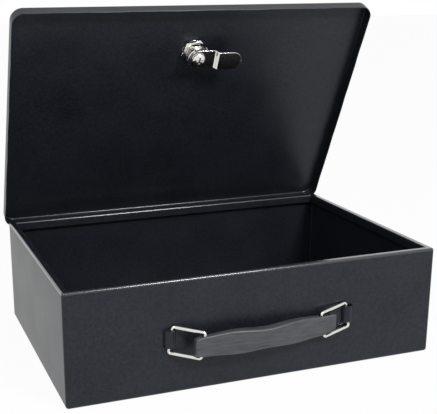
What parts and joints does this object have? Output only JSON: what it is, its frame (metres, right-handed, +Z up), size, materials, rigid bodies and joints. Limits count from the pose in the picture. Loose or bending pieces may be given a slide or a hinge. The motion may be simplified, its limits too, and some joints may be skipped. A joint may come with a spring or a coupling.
{
  "type": "cash box",
  "caption": "Flat sheet-steel security box with an overhanging hinged lid, a keyed cam lock inside the lid and a strap handle on wire loops.",
  "frame": {"origin": "middle of the base's underside, on the surface that the box stands on", "axes": "+X to the right along the front, +Y from the front with the handle to the hinge at the back, +Z up"},
  "size_m": [0.3714, 0.2786, 0.3294],
  "materials": {
    "powder_coat": "satin black powder coat",
    "dark_steel": "dark zinc plate",
    "lock_nickel": "bright nickel plate",
    "wire_nickel": "nickel-plated wire",
    "wafer_brass": "stamped, plain",
    "strap_vinyl": "moulded black vinyl, fine grain"
  },
  "bodies": {
    "box": {"body_shell": "powder_coat", "strike_bracket": "powder_coat", "hinge_leaf_body": "dark_steel", "hinge_pin": "dark_steel"},
    "lid": {"lid_panel": "powder_coat", "hinge_leaf_lid": "dark_steel", "lock_housing": "lock_nickel", "lock_washer": "lock_nickel", "lock_nut": "lock_nickel"},
    "lock_core": {"lock_plug": "lock_nickel", "lock_wafers": "wafer_brass", "plug_retainer": "wafer_brass", "wafer_springs": "dark_steel", "cam_stop": "dark_steel", "lock_cam": "lock_nickel", "cam_washer": "lock_nickel", "cam_screw": "lock_nickel"},
    "loop_left": {"handle_loop_left": "wire_nickel"},
    "grip": {"handle_grip": "strap_vinyl"},
    "loop_right": {"handle_loop_right": "wire_nickel"}
  },
  "joints": [
    {"name": "lid_hinge", "type": "hinge", "parent": "box", "child": "lid", "pos_m": [0, 0.129, 0.0964], "axis": [-1, 0, 0], "range_deg": [-64, 116]},
    {"name": "lock_turn", "type": "hinge", "parent": "lid", "child": "lock_core", "pos_m": [0, 0.0495, 0.28426], "axis": [0, -0.8988, -0.4384], "range_deg": [0, 90]},
    {"name": "handle_swing", "type": "hinge", "parent": "box", "child": "loop_left", "pos_m": [-0.0877, -0.12385, 0.053], "axis": [-0.1736, 0, -0.9848], "range_deg": [-3, 15]},
    {"name": "handle_grip_turn", "type": "hinge", "parent": "loop_left", "child": "grip", "pos_m": [-0.06197, -0.13669, 0.04728], "axis": [-0.1736, 0, -0.9848], "range_deg": [-14.48, 2.94]},
    {"name": "handle_right_swing", "type": "hinge", "parent": "box", "child": "loop_right", "pos_m": [0.0877, -0.12385, 0.053], "axis": [-0.1736, 0, 0.9848], "range_deg": [-3.05, 15.05]}
  ],
  "couplings": [
    {"joint": "handle_grip_turn", "follows": "handle_swing", "ratio": -0.96203},
    {"joint": "handle_right_swing", "follows": "handle_swing", "ratio": 1}
  ]
}
